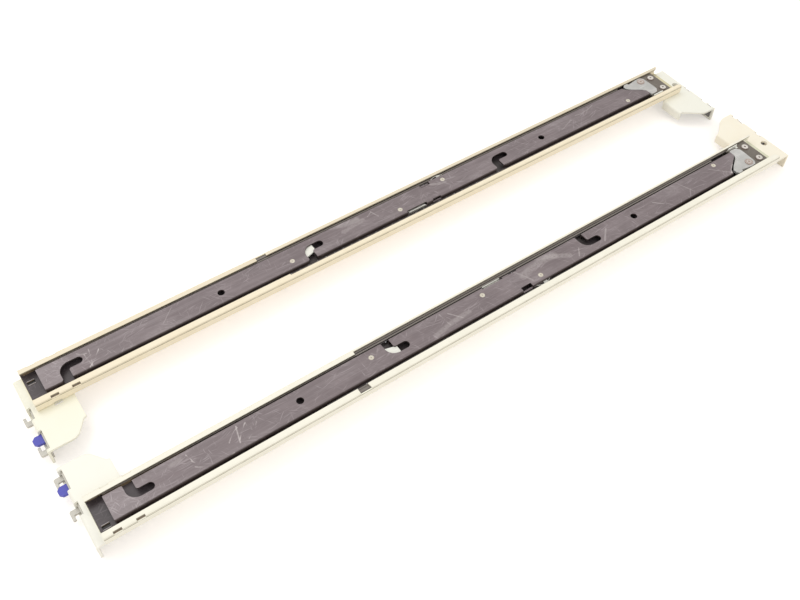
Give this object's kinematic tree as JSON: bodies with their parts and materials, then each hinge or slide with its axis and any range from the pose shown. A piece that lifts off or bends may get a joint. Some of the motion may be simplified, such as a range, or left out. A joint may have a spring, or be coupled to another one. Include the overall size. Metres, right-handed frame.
{
  "type": "sliding server rail pair",
  "caption": "Pair of mirrored three-member ball slides for mounting a server in a four-post rack, with hook brackets, stud slots and a rear latch lever.",
  "frame": {"origin": "centre of the pair's footprint on the surface the rails lie on, server side up", "axes": "+X along the rails from the front post to the rear post, +Z from the post side of the rails towards the server side"},
  "size_m": [0.7556, 0.1756, 0.0276],
  "materials": {
    "left_cream": "satin cream paint",
    "right_cream": "satin cream paint",
    "slide_coat": "satin dark coat with rubbed scratches",
    "dark_steel": "satin dark coat",
    "strip_steel": "rolled strip",
    "ball_steel": "polished",
    "rivet_pale": "pale zinc",
    "white_nylon": "matt",
    "bright_zinc": "bright zinc",
    "lever_zinc": "zinc plated",
    "pivot_tan": "dull chromate",
    "blue_plastic": "semi-gloss"
  },
  "bodies": {
    "rails": {"left_channel": "left_cream", "left_outer_member": "dark_steel", "left_latch_base": "dark_steel", "left_latch_screws": "bright_zinc", "left_latch_pivot": "pivot_tan", "left_latch_spring": "bright_zinc", "left_front_bracket": "left_cream", "left_front_rivets": "rivet_pale", "left_front_hooks": "bright_zinc", "left_release_stud": "bright_zinc", "left_adjust_screws": "bright_zinc", "left_release_spring": "strip_steel", "right_channel": "right_cream", "right_outer_member": "dark_steel", "right_latch_base": "dark_steel", "right_latch_screws": "bright_zinc", "right_latch_pivot": "pivot_tan", "right_latch_spring": "bright_zinc", "right_front_bracket": "right_cream", "right_front_rivets": "rivet_pale", "right_front_hooks": "bright_zinc", "right_release_stud": "bright_zinc", "right_adjust_screws": "bright_zinc", "right_release_spring": "strip_steel"},
    "left_middle": {"left_middle_member": "dark_steel"},
    "left_inner": {"left_inner_member": "slide_coat", "left_member_rivets": "rivet_pale"},
    "left_outer_carriage": {"left_outer_cage": "strip_steel", "left_outer_balls": "ball_steel"},
    "left_inner_carriage": {"left_inner_cage": "strip_steel", "left_inner_balls": "ball_steel"},
    "left_catch": {"left_stud_catch": "white_nylon"},
    "left_edge_latch": {"left_side_latch": "bright_zinc"},
    "left_edge_spring": {"left_side_spring": "bright_zinc"},
    "left_lever": {"left_latch_lever": "lever_zinc"},
    "left_release": {"left_release_tab": "blue_plastic", "left_release_slide": "bright_zinc"},
    "left_rear_mount": {"left_rear_bracket": "left_cream", "left_rear_hooks": "bright_zinc"},
    "right_middle": {"right_middle_member": "dark_steel"},
    "right_inner": {"right_inner_member": "slide_coat", "right_member_rivets": "rivet_pale"},
    "right_outer_carriage": {"right_outer_cage": "strip_steel", "right_outer_balls": "ball_steel"},
    "right_inner_carriage": {"right_inner_cage": "strip_steel", "right_inner_balls": "ball_steel"},
    "right_catch": {"right_stud_catch": "white_nylon"},
    "right_edge_latch": {"right_side_latch": "bright_zinc"},
    "right_edge_spring": {"right_side_spring": "bright_zinc"},
    "right_lever": {"right_latch_lever": "lever_zinc"},
    "right_release": {"right_release_tab": "blue_plastic", "right_release_slide": "bright_zinc"},
    "right_rear_mount": {"right_rear_bracket": "right_cream", "right_rear_hooks": "bright_zinc"}
  },
  "joints": [
    {"name": "left_middle_slide", "type": "slide", "parent": "rails", "child": "left_middle", "axis": [-1, 0, 0], "range_m": [0, 0.33]},
    {"name": "left_inner_slide", "type": "slide", "parent": "left_middle", "child": "left_inner", "axis": [-1, 0, 0], "range_m": [0, 0.33]},
    {"name": "left_outer_carriage_slide", "type": "slide", "parent": "rails", "child": "left_outer_carriage", "axis": [-1, 0, 0], "range_m": [0, 0.165]},
    {"name": "left_inner_carriage_slide", "type": "slide", "parent": "left_middle", "child": "left_inner_carriage", "axis": [-1, 0, 0], "range_m": [0, 0.165]},
    {"name": "left_catch_leaf", "type": "hinge", "parent": "left_inner", "child": "left_catch", "pos_m": [-0.1263, -0.06345, 0.0257], "axis": [0, 1, 0], "range_deg": [0, 4], "stiffness_Nm_per_rad": 0.3, "springref_deg": -4.58},
    {"name": "left_edge_latch_turn", "type": "hinge", "parent": "left_inner", "child": "left_edge_latch", "pos_m": [-0.0053, -0.06245, 0.025], "axis": [0, 0, -1], "range_deg": [0, 3], "stiffness_Nm_per_rad": 0.3, "springref_deg": -4.58},
    {"name": "left_edge_spring_press", "type": "slide", "parent": "left_inner", "child": "left_edge_spring", "axis": [0, 1, 0], "range_m": [0, 0.0008], "stiffness_N_per_m": 2500, "springref_m": -0.0002},
    {"name": "left_lever_turn", "type": "hinge", "parent": "rails", "child": "left_lever", "pos_m": [0.3183, -0.07585, 0.0256], "axis": [0, 0, -1], "range_deg": [0, 4], "stiffness_Nm_per_rad": 0.4, "springref_deg": -4.58},
    {"name": "left_release_press", "type": "slide", "parent": "rails", "child": "left_release", "axis": [1, 0, 0], "range_m": [0, 0.004], "stiffness_N_per_m": 900, "springref_m": -0.003, "deforming": ["left_release_spring"]},
    {"name": "left_rear_mount_slide", "type": "slide", "parent": "rails", "child": "left_rear_mount", "axis": [1, 0, 0], "range_m": [-0.0069, 0.0331]},
    {"name": "right_middle_slide", "type": "slide", "parent": "rails", "child": "right_middle", "axis": [-1, 0, 0], "range_m": [0, 0.33]},
    {"name": "right_inner_slide", "type": "slide", "parent": "right_middle", "child": "right_inner", "axis": [-1, 0, 0], "range_m": [0, 0.33]},
    {"name": "right_outer_carriage_slide", "type": "slide", "parent": "rails", "child": "right_outer_carriage", "axis": [-1, 0, 0], "range_m": [0, 0.165]},
    {"name": "right_inner_carriage_slide", "type": "slide", "parent": "right_middle", "child": "right_inner_carriage", "axis": [-1, 0, 0], "range_m": [0, 0.165]},
    {"name": "right_catch_leaf", "type": "hinge", "parent": "right_inner", "child": "right_catch", "pos_m": [-0.1263, 0.06345, 0.0257], "axis": [0, 1, 0], "range_deg": [0, 4], "stiffness_Nm_per_rad": 0.3, "springref_deg": -4.58},
    {"name": "right_edge_latch_turn", "type": "hinge", "parent": "right_inner", "child": "right_edge_latch", "pos_m": [-0.0053, 0.06245, 0.025], "axis": [0, 0, 1], "range_deg": [0, 3], "stiffness_Nm_per_rad": 0.3, "springref_deg": -4.58},
    {"name": "right_edge_spring_press", "type": "slide", "parent": "right_inner", "child": "right_edge_spring", "axis": [0, -1, 0], "range_m": [0, 0.0008], "stiffness_N_per_m": 2500, "springref_m": -0.0002},
    {"name": "right_lever_turn", "type": "hinge", "parent": "rails", "child": "right_lever", "pos_m": [0.3183, 0.07585, 0.0256], "axis": [0, 0, 1], "range_deg": [0, 4], "stiffness_Nm_per_rad": 0.4, "springref_deg": -4.58},
    {"name": "right_release_press", "type": "slide", "parent": "rails", "child": "right_release", "axis": [1, 0, 0], "range_m": [0, 0.004], "stiffness_N_per_m": 900, "springref_m": -0.003, "deforming": ["right_release_spring"]},
    {"name": "right_rear_mount_slide", "type": "slide", "parent": "rails", "child": "right_rear_mount", "axis": [1, 0, 0], "range_m": [0, 0.04]}
  ],
  "couplings": [
    {"joint": "left_outer_carriage_slide", "follows": "left_middle_slide", "ratio": 0.5},
    {"joint": "left_inner_carriage_slide", "follows": "left_inner_slide", "ratio": 0.5},
    {"joint": "right_outer_carriage_slide", "follows": "right_middle_slide", "ratio": 0.5},
    {"joint": "right_inner_carriage_slide", "follows": "right_inner_slide", "ratio": 0.5}
  ]
}
